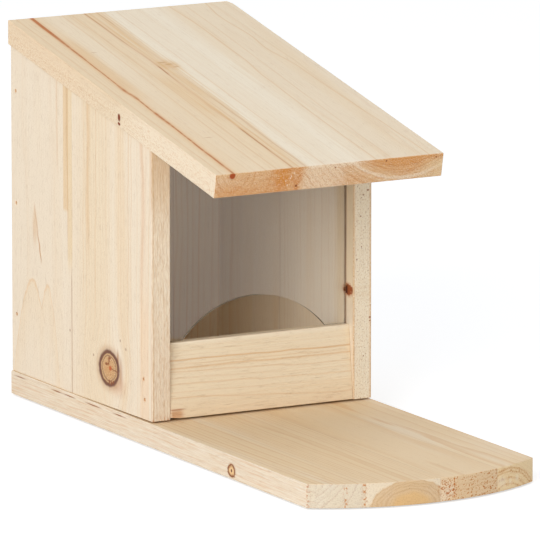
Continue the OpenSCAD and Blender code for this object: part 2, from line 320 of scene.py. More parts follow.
class Pine(Finish):
    """Bare pine. A place in it is measured across the board, into it, and along its grain. Its colours
    are sRGB triples from 0 to 255."""

    LATE = 220, 181, 132
    WARM = 233, 204, 162
    COOL = 240, 228, 209
    PALE = 244, 233, 213
    FIBRE = 182, 132, 84
    RING = 190, 122, 62
    STREAK = 184, 102, 36
    HALO = 222, 168, 102
    ORANGE = 204, 132, 62
    BARK = 98, 52, 40
    KNOT = 206, 164, 112
    GLUE = 160, 110, 66
    SPECK = 134, 72, 34

    def __init__(self, name, seed, early, place):
        super().__init__(name)
        self.seed = seed
        self.axes = place(*self.place)
        self.across, self.into, self.along = self.axes
        self.face = self.across, self.along
        self.end_face = self.across, self.into
        self.edge_face = self.along, self.into
        self.flow = self.across
        node = self.node("Attribute")
        node.attribute_name = "end_grain"
        self.end = Num(self, node.outputs["Fac"])
        self.colour = paint(*early)
        self.height = 0.0

    def grain(self, fine, long, shift, detail=2.0):
        """Noise drawn out along the grain: fine across it and long along it."""
        x = self.flow / fine + (self.seed * 7.3 + shift * 3.1)
        return self.cloud(x, self.into / fine, self.along / long, detail)

    def oval(self, face, first, second, wide, tall, rough=0.1, tilt=0.0):
        """Distance on a face from a place there, 1 on a rough oval of those half sizes that leans by
        the tilt."""
        v = (face[1] - second) / tall
        u = (face[0] - first) / wide - v * tilt
        distance = (u * u + v * v).root()
        if rough:
            distance = distance + self.cloud(u * 2.0, v * 2.0, self.seed + first) * rough
        return distance

    def part_round(self, oval, across, reach):
        """Turns the grain aside round an oval, as it flows past a knot."""
        share = oval / reach
        self.flow = self.flow - (self.flow - across) * (share * share).fall() * 0.85

    def by_stave(self, values, joints):
        """A value for each stave, changing at the joints between them."""
        value = values[0]
        for joint, before, after in zip(joints, values, values[1:]):
            value = self.math("GREATER_THAN", self.across, joint) * (after - before) + value
        return value

    def grow(self, staves, joints=(), face=0.3, end=0.8, sway=3.0, cut=0.5, bands=0.4):
        """Year rings. A stave gives its pith, across and into the board, and its ring width. The ring
        number is the distance from the pith over the width, swayed by noise along the grain, and late
        wood darkens towards the end of each year and stops sharply. Ends are darker by the cut."""
        across = self.by_stave([stave[0] for stave in staves], joints)
        into = self.by_stave([stave[1] for stave in staves], joints)
        width = self.by_stave([stave[2] for stave in staves], joints)
        u, v = self.flow - across, self.into - into
        radius = (u * u + v * v).root() + self.grain(30, 150, 1) * sway
        years = radius / width + self.grain(5, 110, 2) * 0.3
        part = self.math("FRACT", years)
        late = part.follow([(0, 0), (0.55, 0.12), (0.9, 1), (1, 0)])
        chance = self.node("TexWhiteNoise")
        chance.noise_dimensions = "1D"
        self.wire(chance.inputs["W"], self.math("FLOOR", years))
        late = late * (Num(self, chance.outputs["Value"]) * 0.8 + 0.2)
        self.tint(self.grain(16, 190, 3, 1.0).step(0.0, 0.7) * bands, self.WARM)
        self.tint(self.grain(13, 160, 4, 1.0).step(0.0, 0.7) * bands, self.COOL)
        self.tint(self.end * cut, self.LATE)
        self.tint(late * face * (1 - self.end), self.LATE)
        self.tint(late * end * self.end, self.RING)
        self.height = late

    def tint(self, share, colour):
        """Lays a colour over the wood."""
        self.colour = self.mix(share, self.colour, paint(*colour))

    def line(self, path, width, strength, colour, sway=0.8, shift=5):
        """A streak along the grain, on a path of (along, across) points."""
        middle = self.along.follow(path) + self.grain(400, 24, shift) * sway
        self.tint((self.flow - middle).bell(0, width) * strength, colour)

    def mark(self, face, first, second, wide, tall, strength, colour, soft=0.4, rough=0.1):
        """An oval mark on a face."""
        oval = self.oval(face, first, second, wide, tall, rough)
        self.tint(oval.drop(1 - soft, 1 + soft, strength), colour)

    def glue(self, joints, strength=0.35):
        """Thin dark joints between staves."""
        for joint in joints:
            self.tint(self.across.bell(joint, 0.22) * strength, self.GLUE)

    def done(self, fleck=0.18, speckle=0.3):
        """Fibres, flecks and pores over the whole, then roughness and bump."""
        fibre = self.grain(0.45, 26, 6)
        dash = self.grain(0.5, 7, 7, 1.0).step(0.38, 0.7)
        pore = self.grain(0.4, 1.4, 8, 0.0).step(0.4, 0.75)
        self.tint(fibre.step(0.0, 0.8) * 0.12, self.FIBRE)
        self.tint(dash * fleck * (1 - self.end), self.FIBRE)
        self.tint(pore * (self.end * speckle + 0.03), self.SPECK)
        self.give("Base Color", self.colour)
        self.give("Roughness", fibre * 0.12 + 0.62)
        self.give("Specular IOR Level", 0.3)
        self.bump(self.height * 0.3 + fibre * 0.5 - dash * 0.6 - pore * 0.5, 0.12)
        return self.material


# Wood finishes

def paint_knot(wood, oval):
    """A round knot: a dark double ring of bark, and tan wood inside with its own small rings."""
    wood.tint(oval.bell(1.06, 0.24) * 0.4, Pine.FIBRE)
    wood.tint(oval.drop(0.93, 1.0, 0.9), Pine.KNOT)
    inside = oval.drop(0.65, 0.8)
    rings = wood.math("FRACT", oval * 7.0).follow([(0, 0), (0.7, 1), (1, 0)])
    wood.tint(inside * rings * 0.3, Pine.FIBRE)
    crumb = wood.cloud(wood.across / 0.7, wood.along / 0.7, 2.0)
    wood.tint(inside * crumb.step(0.1, 0.5) * 0.6, Pine.SPECK)
    wood.tint(inside * crumb.drop(-0.6, -0.2, 0.4), Pine.PALE)
    wood.tint(oval.step(0.74, 0.85) * oval.drop(0.95, 1.1, 0.92), Pine.BARK)
    wood.tint(oval.bell(0.68, 0.04) * 0.6, Pine.BARK)
    wood.tint(oval.bell(0.0, 0.4) * 0.35, Pine.ORANGE)


def left_side_pine():
    """Two staves: a narrow-ringed front one with a knot, and a plain rear one with an arched figure."""
    wood = Pine("left_side_pine", 1, (237, 221, 198),
                lambda x, y, z: (y, x - SIDE_LOW[0], z - BASE_TOP))
    across, into, along = wood.axes
    knot = wood.oval(wood.face, 43.9, 19.3, 10.4, 8.9, 0.06, -0.05)
    wood.part_round(knot, 43.9, 1.6)
    joint = 82.4
    front = across.drop(joint - 0.2, joint + 0.2)
    wood.grow([(-45, 5, 3.0), (118, 70, 4.0)], [joint], face=front * 0.22 + 0.1, bands=front * 0.3 + 0.1)
    wood.tint(across.bell(joint, 0.35) * along.step(54, 62, 0.75, 0.1), Pine.GLUE)
    wood.tint(across.band(joint - 0.6, 86.6, 0.4) * along.step(56, 70) * 0.42, (230, 198, 142))
    wood.tint(across.band(86, 91, 0.4) * along.step(88, 90.5) * 0.5, (224, 184, 124))
    wood.line([(100, 87.7), (150, 87.4)], 0.5, along.step(105, 125) * 0.4, (186, 138, 78), 0.3, 20)
    wood.line([(100, 97.0), (150, 97.6)], 0.9, along.step(100, 120) * 0.3, (214, 170, 120), 0.4, 21)
    red_streak = [(50, 10.5), (75, 9.6), (100, 8.2), (115, 8.2), (133, 10.5)]
    wood.line(red_streak, 1.5, along.step(50, 85) * 0.3, (212, 156, 112), 0.4, 22)
    wood.tint(across.band(42, 74, 12) * 0.35, (232, 206, 164))
    wood.line([(0, 86.5), (150, 86.2)], 0.5, along.step(60, 90) * 0.22, Pine.RING, 0.4)
    wood.tint(across.band(3, 12, 1.5) * along.step(45, 75, 0.5, 0.1), (238, 206, 172))
    lines = ((65.8, 1.7, 0.5, 60), (70.7, 0.5, 0.25, 30), (58, 0.5, 0.35, 20), (47.5, 0.6, 0.15, 40),
             (34, 0.5, 0.15, 40), (24.5, 0.5, 0.4, 0), (21.6, 0.4, 0.3, 30), (11, 0.4, 0.3, 0))
    for place, width, strength, low in lines:
        path = [(0, place), (150, place - 0.8)]
        wood.line(path, width, along.step(low, low + 30) * strength, Pine.LATE, 1.0, place)
    left_leg, right_leg = across - 123.9, across - 107.9
    arch = (left_leg * left_leg * 0.12).least(right_leg * right_leg * 0.3) + along - 48
    arch = arch + wood.cloud(across / 5, along / 9, 3.0) * 2.0
    wood.tint(arch.bell(0, 0.9) * 0.5, (226, 184, 134))
    wood.tint(arch.step(-40, 0) * arch.drop(0, 0.8) * 0.25, Pine.WARM)
    wood.line([(58, 114.2), (66, 116.2), (74, 118.6), (86, 121.4)], 0.5,
              along.band(60, 86, 3) * along.step(66, 76, 0.9, 0.5), (190, 130, 70), 0.3)
    wood.mark(wood.face, 121.2, 76, 2.2, 8, 0.4, (212, 166, 114), 0.7)
    wood.mark(wood.face, 36.0, 12.5, 7, 4.5, 0.5, (206, 150, 100), 0.9)
    wood.mark(wood.face, 34.9, 24.6, 0.9, 4.5, 0.7, (168, 108, 66), 0.6)
    wood.mark(wood.face, 31.8, 18.0, 1.4, 6.5, 0.4, (178, 120, 84), 0.8)
    paint_knot(wood, knot)
    ray = (along - 19.5 + (across - 42.6) * -0.11).bell(0, 0.3) * across.band(34.6, 42.2, 0.5)
    wood.tint(ray * 0.85, Pine.SPECK)
    checks = ((44.0, 23.6, 0.7, 1.7), (42.9, 24.4, 0.8, 0.5), (46.6, 21.0, 1.4, 0.7),
              (44.6, 21.4, 0.7, 0.6), (43.6, 12.6, 0.8, 1.1), (41.6, 12.4, 0.8, 1.1), (39.6, 13.0, 0.7, 0.9))
    for place, up, wide, tall in checks:
        wood.mark(wood.face, place, up, wide, tall, 0.9, Pine.SPECK, rough=0)
    wood.mark(wood.face, 42.6, 19.5, 1.3, 1.1, 0.95, (186, 84, 30))
    for place, up in ((84.4, 30.8), (32.3, 34.8), (26.6, 31.5), (60, 23)):
        wood.mark(wood.face, place, up, 0.5, 0.7, 0.6, Pine.SPECK, rough=0)
    # A darker line along the front arris, strongest low down and near the top
    front_arris_darkening = along.follow([(30, 0.5), (60, 0.15), (95, 0.2), (115, 0.6)])
    wood.tint(across.bell(0.2, 0.6) * front_arris_darkening, (188, 126, 78))
    sawn = across.drop(0.1, 0.5)
    wood.tint(sawn * 0.7, (238, 225, 204))
    for depth, strength in ((0.8, 0.5), (2.4, 0.15), (4.4, 0.15), (6.4, 0.25), (8.3, 0.1)):
        shade = (into + wood.grain(400, 30, depth) * 0.7).bell(depth, 0.4)
        wood.tint(sawn * shade * strength, (204, 162, 114))
    tear = wood.grain(0.3, 3, 11)
    wood.tint(sawn * tear.step(0.0, 0.4) * 0.35, (200, 156, 96))
    wood.tint(sawn * tear.drop(-0.5, 0.0, 0.45), (246, 232, 204))
    # Painted shade: the sawn front edge is darker and browner towards the top, under the roof's eave
    wood.tint(sawn * along.step(85, 125) * 0.4, (200, 164, 116))
    ragged = along.drop(0.5, 4, 0.7) * wood.grain(0.7, 3, 10).step(-0.2, 0.4)
    wood.tint(sawn * ragged, (186, 122, 72))
    # Painted shade: a dark line along the foot of the board, over its front part, where it stands off the
    # base
    foot = along.drop(0.1, 0.7, 0.9) * across.drop(30, 80) * (1 - wood.end)
    wood.tint(foot, (110, 72, 44))
    shade_groove(wood, SIDE_HIGH[0] - SIDE_LOW[0] - into)
    return wood.done()


def right_side_pine():
    """The other side board: a small knot by its front edge and a rough sawn front with pits."""
    inner = -SIDE_HIGH[0]
    wood = Pine("right_side_pine", 2, (240, 223, 196),
                lambda x, y, z: (y, x - inner, z - BASE_TOP))
    across, into, along = wood.axes
    knot = wood.oval(wood.face, 5.6, 53.9, 5.0, 2.8, 0.4)
    wood.part_round(knot, 5.6, 1.6)
    wood.grow([(-30, 4, 3.2), (95, 60, 4.2)], [74], face=0.3)
    wood.glue([74])
    wood.line([(0, 2.2), (150, 3.0)], 0.5, 0.5, Pine.LATE, 0.6)
    wood.line([(0, 6.0), (150, 6.4)], 0.5, 0.4, Pine.LATE, 0.6, 6)
    inner_face = into.drop(0.5, 2)
    # Painted light: the inner face in front of the pane is painted paler, most towards the top, for light
    # that the roof's eave keeps off it
    painted_light_strip = across.drop(6.5, 7.5, 0.8) * inner_face
    wood.tint(painted_light_strip, (240, 228, 208))
    wood.tint(painted_light_strip * along.step(34, 60), (255, 236, 202))
    # Painted shadow: a dark line on the inner face along the front lip of the pane's groove
    wood.tint(across.band(7.0, 7.8, 0.15) * inner_face * 0.85, (132, 80, 36))
    wood.tint(knot.drop(0.8, 1.5, 0.6) * inner_face, (206, 132, 72))
    wood.tint(knot.drop(0.75, 1.05, 0.95) * inner_face, (160, 80, 36))
    wood.tint(knot.drop(0.6, 1.0) * across.step(4.6, 6.8) * inner_face, (78, 34, 12))
    sawn = across.drop(0.2, 0.9)
    wood.tint(sawn * 0.7, (238, 225, 200))
    wood.tint(sawn * into.step(8.2, 9.8) * 0.6, (214, 166, 112))
    wood.tint(sawn * into.drop(0.2, 1.4, 0.6), (214, 168, 114))
    # Painted light: the sawn front edge is paler towards the top, against the shade under the roof's eave
    wood.tint(sawn * along.step(95, 130) * 0.5, (250, 240, 220))
    sand = wood.cloud(into / 0.7, along / 0.9, 5.0)
    wood.tint(sawn * sand.step(0.15, 0.6) * 0.6, (196, 164, 124))
    wood.tint(sawn * sand.drop(-0.6, -0.15, 0.6), (248, 240, 226))
    wood.tint(sawn * wood.cloud(into / 0.6, along / 0.8, 9.0, 0.0).step(0.72, 0.86) * 0.6, Pine.SPECK)
    pits = ((7.9, 103.1, 0.5, 0.5), (5.4, 100.9, 0.45, 0.3), (3.9, 90.6, 0.5, 0.3), (4.4, 75.6, 0.3, 0.4),
            (1.9, 69.5, 0.3, 0.5), (5.6, 21.9, 0.3, 0.35), (9.1, 40.6, 0.6, 0.45), (9.1, 38.9, 0.5, 0.3))
    for deep, up, wide, tall in pits:
        wood.mark((into, along), deep, up, wide, tall, sawn * 0.85, (140, 74, 24), rough=0)
    shade_groove(wood, into)
    return wood.done()


def shade_groove(wood, depth):
    """Darkens the pane's groove, which the light hardly reaches."""
    front, back = PANE_LOW[1] - PANE_PLAY, PANE_HIGH[1] + PANE_PLAY
    inside = depth.step(0.05, 0.3) * depth.drop(GROOVE_DEPTH + 0.1, GROOVE_DEPTH + 0.3)
    wood.tint(wood.across.band(front, back, 0.05) * inside * 0.85, (116, 68, 32))


def back_pine():
    """Three staves with one knot."""
    wood = Pine("back_pine", 3, (241, 224, 199), lambda x, y, z: (x, BODY_D - y, z - BASE_TOP))
    joints = [-21, 24]
    knot = wood.oval(wood.face, 8, 62, 7, 6.5, 0.06)
    wood.part_round(knot, 8, 1.5)
    wood.grow([(-60, 20, 3.6), (4, 55, 4.4), (80, 24, 3.2)], joints, face=0.5)
    wood.glue(joints)
    paint_knot(wood, knot)
    return wood.done()


def rail_pine():
    """One stave with thin late-wood lines that run down a little to the right."""
    wood = Pine("rail_pine", 4, (237, 220, 191), lambda x, y, z: (z - RAIL_LOW[2], y, x))
    across, along = wood.across, wood.along
    wood.grow([(70, 14, 2.4)], face=0.2, bands=0.2)
    left, right = RAIL_LOW[0], RAIL_HIGH[0]
    lines = ((29.0, 27.5, 0.6), (26.9, 25.4, 0.2), (25.0, 24.1, 0.5), (23.6, 20.3, 0.3), (20.2, 17.4, 0.15),
             (17.3, 14.9, 0.3), (13.6, 11.0, 0.15), (10.9, 5.7, 0.3))
    for start, end, strength in lines:
        wood.line([(left, start), (right, end)], 0.36, strength, (212, 162, 108), 0.6, start)
    wood.tint(across.drop(0, 14, 0.3), (222, 184, 138))
    wood.tint(across.band(1.4, 4.8, 0.8) * along.drop(-45, -41.5, 0.7), (200, 140, 90))
    wood.tint(across.bell(5.4, 0.4) * along.drop(-45, -40, 0.8), (166, 98, 54))
    # Painted light: the top of the rail is painted paler, for the light falling on it from above
    wood.tint(across.step(34.5, 37, 0, 0.4), Pine.PALE)
    splinters = wood.grain(1.2, 20, 9)
    pale_end = along.drop(left + 0.6, left + 1.4) * splinters.step(-0.5, 0.2, 0.9, 0.3)
    wood.tint(pale_end, (246, 232, 206))
    wood.tint(along.drop(left + 0.1, left + 0.7, 0.7) * splinters.step(0.1, 0.4), (190, 134, 84))
    return wood.done()


# Pith of the roof's right stave, across and into the board, above its top
ROOF_PITH = 40, -33


def roof_pine():
    """Wide board sawn through its heart at the left: two long pitch streaks, a stain along one of them,
    and a pale band with streaks of its own."""
    def place(x, y, z):
        depth = (y - BODY_D) * math.tan(ROOF_PITCH) + ROOF_HIGH[2] - z
        return x, depth * math.cos(ROOF_PITCH), (BODY_D - y) / math.cos(ROOF_PITCH)

    wood = Pine("roof_pine", 5, (237, 220, 194), place)
    across, into, along = wood.axes
    piths = [(-52.5, 1, 3.0), (*ROOF_PITH, 2.5)]
    wood.grow(piths, [-13.9], face=0.22, end=0.75, sway=1.5, cut=0.4, bands=0.25)
    top = into.drop(0.3, 2.5)
    wood.tint(across.drop(-22, -16, 0.42) * top, Pine.WARM)
    wood.tint(across.band(-43, -31, 2.5) * along.step(60, 130, 0.4, 0.15) * top, Pine.PALE)
    pale_edge = [(0, -9), (64, -9.8), (76, -8.4), (90, -10.3), (217, -12.3)]
    from_pale = across - along.follow(pale_edge) + wood.grain(1.2, 70, 14) * 4.0
    pale = from_pale.follow([(-3, 0), (3, 0.8), (5, 0.75), (8, 0.45), (19, 0.5),
                             (22, 0.8), (27, 0.75), (30, 0.4), (44, 0)])
    wood.tint(pale * top, Pine.PALE)
    second = [(0, -19.7), (40, -19.3), (77, -18.6), (105, -19.5), (166, -20.1), (217, -20.5)]
    past_second = across - along.follow(second)
    streaks = wood.grain(0.9, 60, 13).step(-0.4, 0.5, 0.3, 1.0) * top
    between = past_second.step(-0.5, 1.0) * from_pale.drop(-4, 2.5)
    wood.tint(between * streaks * 0.55, (222, 178, 112))
    beside = past_second.band(-7.5, -0.3, 2.0) * along.band(92, 144, 14)
    wood.tint(beside * streaks * 0.42, (220, 172, 100))
    wood.mark(wood.face, -13.5, 76, 4.6, 5.0, top * 0.45, (214, 164, 98), 0.9, 0.3)
    for middle, up, wide in ((-14.5, 72.5, 2.4), (-12.0, 75.5, 2.0), (-10.2, 79.5, 1.6)):
        wood.mark(wood.face, middle, up, wide, 0.6, top * 0.45, (186, 128, 66), 0.6, 0)
    heart = [(0, -48.8), (50, -49.6), (75, -50.3), (105, -51.0), (113, -50.2), (137, -50.8), (217, -52.2)]
    warm_side = (across - along.follow(heart)).band(1, 7, 3) * along.band(35, 112, 15)
    wood.tint(warm_side * top * 0.35, (222, 178, 118))
    wood.line(heart, 2.0, top * 0.4, Pine.HALO, 0.3)
    broad = wood.flow - along.follow(heart) - wood.grain(400, 24, 5) * 0.3
    wood.tint(broad.band(-1.0, 1.0, 0.3) * along.drop(18, 42, 0.9) * top, (190, 114, 60))
    width = along.follow([(0, 0.9), (30, 0.8), (55, 0.6), (64, 0.38), (95, 0.4), (101, 0.8), (114, 0.85),
                          (118, 0.42), (132, 0.42), (137, 0.8), (150, 0.7), (156, 0.48), (217, 0.65)])
    ragged = wood.grain(400, 5, 15).step(-0.5, 0.2, 0.55, 1.0)
    pitch = ragged * along.follow([(0, 0.5), (40, 0.9), (217, 0.95)])
    wood.line(heart, width, top * pitch, Pine.STREAK, 0.3)
    wood.line(second, 1.2, top * 0.25, Pine.HALO, 0.3, 6)
    dark = along.follow([(0, 0.55), (40, 0.5), (50, 0.25), (75, 0.25), (79, 0.9), (86, 0.9), (91, 0.4),
                         (106, 0.15), (160, 0.15), (167, 0.85), (190, 0.85), (197, 0.5), (217, 0.6)])
    wood.line(second, 0.45, dark * top * 0.85, (172, 100, 34), 0.3, 6)
    faint = along.follow([(0, 0.5), (15, 0.45), (22, 0.15), (115, 0.15), (130, 0.4)])
    wood.line([(0, -12.8), (217, -13.6)], 0.45, faint * top, (190, 136, 76), 0.4, 7)
    for path, strength in (([(0, -32), (217, -35)], 0.4), ([(60, -27), (217, -29)], 0.45),
                           ([(0, 27.4), (27, 28.8), (77, 28.3), (103, 26.2), (169, 24.7)], 0.5),
                           ([(0, 47.6), (20, 45.5), (50, 47.6), (64, 46.6), (95, 50), (217, 53.6)], 0.5),
                           ([(0, 36), (217, 33)], 0.3), ([(0, -57), (217, -58)], 0.4),
                           ([(0, -16.6), (217, -17.0)], 0.35), ([(0, -2.5), (217, -3.5)], 0.3)):
        wood.line(path, 0.4, top * strength, Pine.LATE, 0.3)
    for middle, up, wide in ((-40.8, 52, 1.6), (-41.0, 171, 2.4)):
        wood.mark(wood.face, middle, up, wide, 0.4, top * 0.4, (186, 132, 72), 0.6, 0)
    roof_end_figure(wood)
    edge = across.drop(ROOF_LOW[0] + 0.2, ROOF_LOW[0] + 0.6) * (1 - wood.end)
    wood.tint(edge * 0.6, (226, 203, 170))
    wood.tint(edge * along.drop(60, 115, 0.3), (238, 206, 170))
    wood.tint(edge * along.step(105, 150, 0, 0.45), (246, 232, 210))
    slash = wood.cloud((along + into * 1.5) / 6, (into - along * 0.12) / 0.7, 6.0)
    wood.tint(edge * along.step(105, 150) * slash.step(0.15, 0.5) * 0.35, (214, 170, 120))
    rough = wood.cloud(along / 1.1, into / 0.75, 4.0, 4.0)
    torn = edge * into.step(1.0, 7.0, 0.3, 1)
    wood.tint(torn * rough.step(0.0, 0.5) * 0.45, (208, 162, 112))
    wood.tint(torn * rough.drop(-0.5, 0.0, 0.45), (246, 232, 208))
    mark = (BODY_D - 30) / math.cos(ROOF_PITCH)
    for depth, tall in ((6.9, 1.8), (9.9, 0.7)):
        wood.mark(wood.edge_face, mark, depth, 1.3, tall, edge, (124, 52, 8), 0.25)
    return wood.done()


def roof_end_figure(wood):
    """Resin and heartwood in the roof's sawn front end. To the right, an orange lens, a pale ring and
    thin dark rings lie about the pith."""
    across, into, end = wood.across, wood.into, wood.end
    face = wood.end_face
    blotch = wood.grain(1.6, 60, 11).step(-0.5, 0.3, 0.55, 1.0)
    boundary = into.step(0, 12, -13.0, -14.8)
    heart = across.step(-38, -27) * (across - boundary).drop(-2.5, 0.8)
    wood.tint(heart * blotch * end * 0.85, (200, 122, 46))
    wood.mark(face, -25, 3.6, 3.6, 5.4, end * 0.9, (206, 124, 10), 0.8, 0)
    left = across.step(-62, -40, 0.2, 0.5) * across.drop(-38, -24)
    wood.tint(left * end, (206, 144, 78))
    wood.tint(across.step(2, 40, 0.1, 0.3) * end, (206, 150, 86))
    mottle = wood.cloud(across / 6, into / 2.2, 7.0, 3.0)
    wood.tint(end * mottle.step(0.05, 0.5) * 0.25, Pine.ORANGE)
    wood.tint(end * mottle.drop(-0.5, -0.05, 0.3), (236, 208, 164))
    resin = ((-55, 9.5, 9, 3.5, 0.5), (-41, 10.5, 9, 3.0, 0.4), (12, 9, 8, 3.0, 0.3))
    for place, depth, wide, tall, strength in resin:
        wood.mark(face, place, depth, wide, tall, end * strength, Pine.ORANGE, 0.9, 0)
    u, v = across - ROOF_PITH[0], into - ROOF_PITH[1]
    radius = (u * u + v * v).root() + wood.cloud(across / 5, into / 3, 8.0) * 0.8
    right = across.step(-8, 6) * end
    wood.tint(right * radius.drop(35, 43, 0.75), (208, 136, 54))
    wood.tint(right * radius.band(42.7, 44.2, 0.7) * 0.5, Pine.PALE)
    for ring in (37.2, 40.6, 46.3, 48.6, 51.4, 54.5):
        wood.tint(right * radius.bell(ring, 0.4) * 0.4, (188, 124, 64))
    wood.tint(across.band(-12, 8, 3) * end * 0.25, Pine.PALE)
    grit = wood.cloud(across / 0.5, into / 0.5, 12.0, 1.0)
    wood.tint(end * 0.15, (216, 158, 74))
    wood.tint(end * grit.step(0.1, 0.6) * 0.5, Pine.PALE)
    wood.tint(end * grit.drop(-0.6, -0.1, 0.6), (172, 98, 38))
    slant = wood.cloud((across + into * 1.3) / 1.6, (into - across * 1.3) / 14, 3.0)
    corner = across.step(46, 58) * into.step(0.5, 5) * slant.step(-0.4, 0.4, 0.75, 0.35)
    wood.tint(corner * end, (228, 200, 156))
    for place, depth in ((-20.7, 4.3), (-21.2, 5.2), (-23.5, 6.4), (-19.4, 2.8), (-22.5, 8.6)):
        wood.mark(face, place, depth, 0.3, 0.5, end * 0.65, Pine.PALE, rough=0)
    wood.mark(face, -52.5, 1.2, 1.6, 1.6, end, (164, 70, 24), 0.25)
    for place, depth, size in ((-17.7, 9.3, 0.55), (30.3, 1.2, 0.4), (2.8, 2.0, 0.35), (57.4, 1.6, 0.35)):
        wood.mark(face, place, depth, size, size, end, (124, 56, 16), rough=0)


def base_pine():
    """Five staves, as the sawn front edge shows them."""
    wood = Pine("base_pine", 6, (235, 211, 175), lambda x, y, z: (x, BASE_TOP - z, BODY_D - y))
    across, into, along = wood.axes
    end = wood.end
    joints = [-57, -36, 0.6, 34]
    piths = [(-70, 50, 2.4), (-80, -24, 2.4), (-14.6, 13, 1.3), (18, -60, 2.6), (41, 24, 2.2)]
    clear = wood.by_stave([0.6, 0.6, 0.25, 0.3, 0.5], joints)
    wood.grow(piths, joints, face=0.8, end=clear, sway=1.5, cut=0.15, bands=0.5)
    wood.glue(joints, 0.2)
    wood.tint(across.drop(-38, -34, 0.62) * end, (215, 208, 191))
    u, v = (across + 14.6) / 18.5, (into - 11.5) / 11.6
    arch = (u * u + v * v).root() + wood.cloud(across / 4, into / 4, 4.0) * 0.05
    stave = across.band(-35.8, 0.4, 0.2) * end
    wood.tint(stave * 0.45, (216, 190, 152))
    wood.tint(stave * arch.step(1.0, 1.08) * 0.6, (238, 226, 204))
    wood.tint(stave * arch.drop(0.94, 1.04, 0.45), (208, 172, 126))
    wood.tint(stave * arch.drop(0.4, 0.66, 0.6), (224, 180, 116))
    for place, strength in ((0.66, 0.35), (0.78, 0.25), (0.88, 0.3), (1.0, 0.35)):
        wood.tint(stave * arch.bell(place, 0.025) * strength, (186, 138, 88))
    flecks = wood.grain(0.85, 20, 12, 1.0)
    rust = (190, 110, 14)
    wood.tint(across.band(8, 33, 3) * end * 0.2, (208, 162, 104))
    wood.tint(across.band(1, 33, 0.5) * end * flecks.step(0.3, 0.45) * 0.85, rust)
    for seam, width in ((-44.7, 0.9), (-36.4, 1.1), (8, 0.6), (18, 0.6), (25.5, 0.6), (28, 0.5), (31, 0.6),
                        (33.2, 0.7)):
        wood.tint(across.bell(seam, width) * end * flecks.step(0.1, 0.35) * 0.8, rust)
    crumbs = wood.cloud(across / 1.2, into / 1.2, 6.0, 1.0).step(0.1, 0.3)
    wood.mark(wood.end_face, 4.5, 5.5, 5.0, 3.6, crumbs * end * 0.9, (182, 98, 8), 0.5)
    right_end = across.step(33.8, 34.6) * end
    wood.tint(right_end * 0.55, (252, 226, 176))
    u, v = across - 41, into - 24
    radius = (u * u + v * v).root() + wood.cloud(across / 3, into / 3, 7.0) * 0.5
    for year, strength in ((15.5, 0.2), (18.3, 0.3), (21.2, 0.4), (22.7, 0.45)):
        wood.tint(right_end * radius.bell(year, 0.45) * strength, (200, 134, 56))
        wood.tint(right_end * radius.bell(year, 0.8) * flecks.step(0.15, 0.4) * 0.6, rust)
    for middle, depth, wide, tall in ((37.2, 6.8, 2.6, 2.2), (48.0, 6.8, 1.0, 1.6), (43.0, 7.6, 0.8, 1.2)):
        wood.mark(wood.end_face, middle, depth, wide, tall, right_end * 0.4, (246, 236, 216), 0.8, 0)
    edge = across.drop(BASE_LOW[0] + 0.15, BASE_LOW[0] + 0.65) * (1 - end)
    wood.tint(edge * 0.6, (232, 220, 203))
    for start, stop in ((130.5, 141.0), (92.0, 102.0), (79.0, 91.0), (52.0, 66.0), (26.0, 37.5)):
        middle, half = BODY_D - (start + stop) / 2, (stop - start) / 2
        wood.mark(wood.edge_face, middle, 1.7, half, 0.28, edge, (142, 74, 26), 0.7)
    drift = into + (along - BODY_D) * 0.012 + wood.grain(500, 60, 9) * 1.5
    for depth in (2.4, 4.4, 6.2, 8.4, 10.2):
        broken = wood.grain(500, 30, depth).step(-0.3, 0.4)
        wood.tint(edge * drift.bell(depth, 0.35) * broken * 0.42, (214, 164, 116))
    scuff = wood.cloud((along + into * 2.0) / 14, (into - along * 0.02) / 0.4, 3.0)
    wood.tint(edge * scuff.step(0.1, 0.5) * 0.35, (214, 170, 122))
    wood.tint(edge * scuff.drop(-0.5, -0.1, 0.4), (248, 240, 226))
    knot_place, knot_depth = BODY_D + 80.6, 7.4
    ring = wood.oval(wood.edge_face, knot_place, knot_depth, 3.9, 3.1, 0.2)
    wood.tint(edge * ring.drop(0.85, 1.2, 0.85), (238, 194, 134))
    wood.tint(edge * ring.bell(0.86, 0.2), (124, 60, 14))
    wood.mark(wood.edge_face, knot_place, knot_depth, 0.7, 0.8, edge, (100, 48, 18), 0.3)
    corner = across.drop(BASE_LOW[0], BASE_LOW[0] + 2.25) * end * flecks.step(0.0, 0.3)
    wood.tint(corner * 0.8, (182, 104, 52))
    return wood.done(speckle=0.18)


# Metal and acrylic finishes

def metal(name, colour, dark, roughness, spots):
    """Metal with fine scratches, and duller spots of that size in millimetres."""
    finish = Finish(name)
    x, y, z = finish.place
    scratch = finish.cloud(x / 0.15, y / 0.15, z / 2.0)
    tarnish = finish.cloud(x / spots, y / spots, z / spots).step(-0.2, 0.6)
    finish.give("Base Color", finish.mix(tarnish * 0.6, colour, dark))
    finish.give("Metallic", 1.0)
    finish.give("Roughness", tarnish * 0.2 + scratch * 0.08 + roughness)
    finish.bump(scratch, 0.01)
    return finish.material


